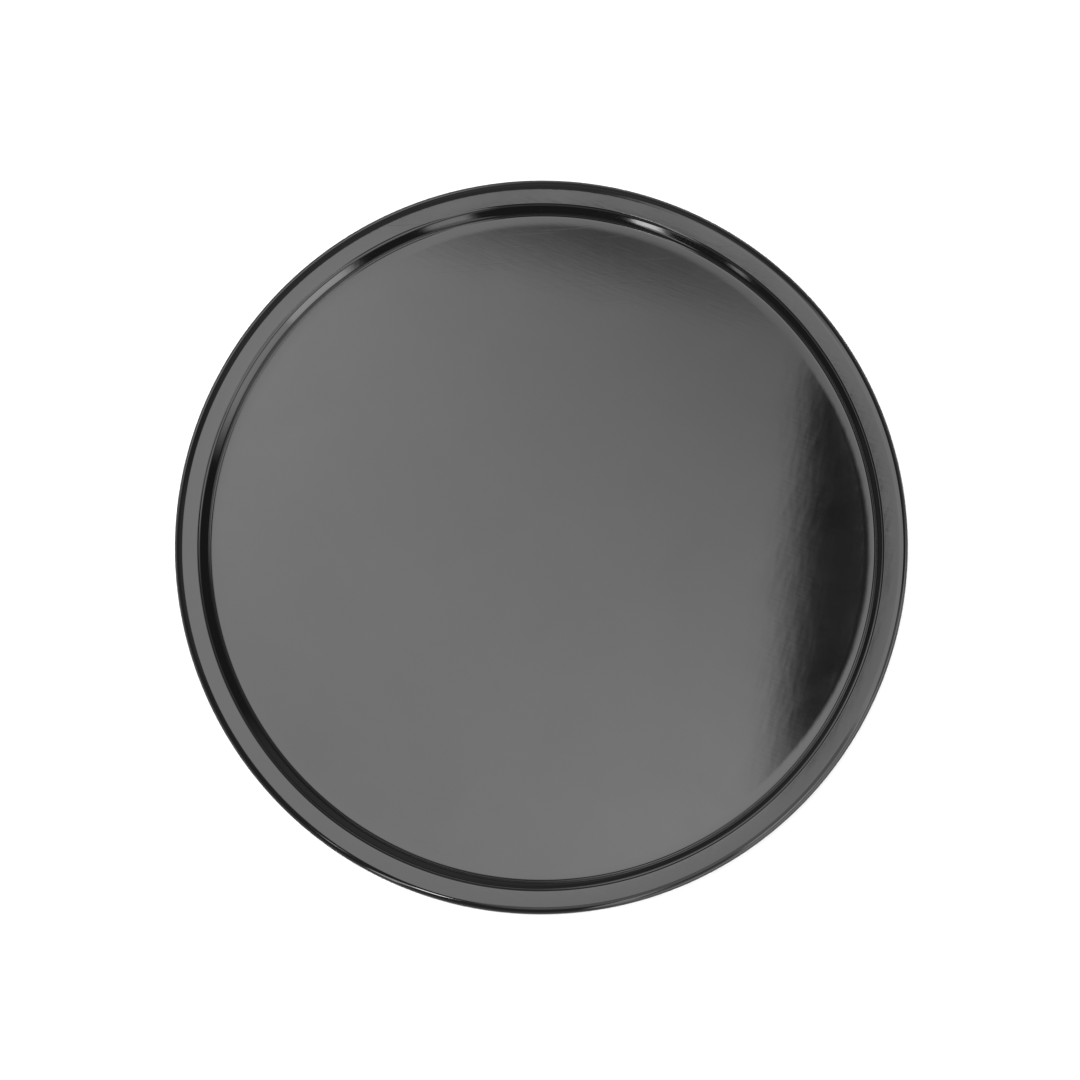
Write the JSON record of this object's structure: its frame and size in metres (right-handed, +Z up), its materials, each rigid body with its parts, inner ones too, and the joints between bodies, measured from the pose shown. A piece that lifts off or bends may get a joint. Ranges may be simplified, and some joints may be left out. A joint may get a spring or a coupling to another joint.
{
  "type": "round serving tray",
  "caption": "Round pressed steel serving tray with a flat floor, short steep wall, level flange and a wired, curled rim.",
  "frame": {"origin": "centre of the underside, on the surface that the tray stands on", "axes": "+Z up, along the tray's axis of turning; +X and +Y are alike, and +X passes through the butt of the wire"},
  "size_m": [0.356, 0.356, 0.0197],
  "materials": {
    "sheet": "polished",
    "wire": "satin"
  },
  "bodies": {
    "root": {"tray_shell": "sheet", "rim_wire": "wire"}
  },
  "joints": []
}
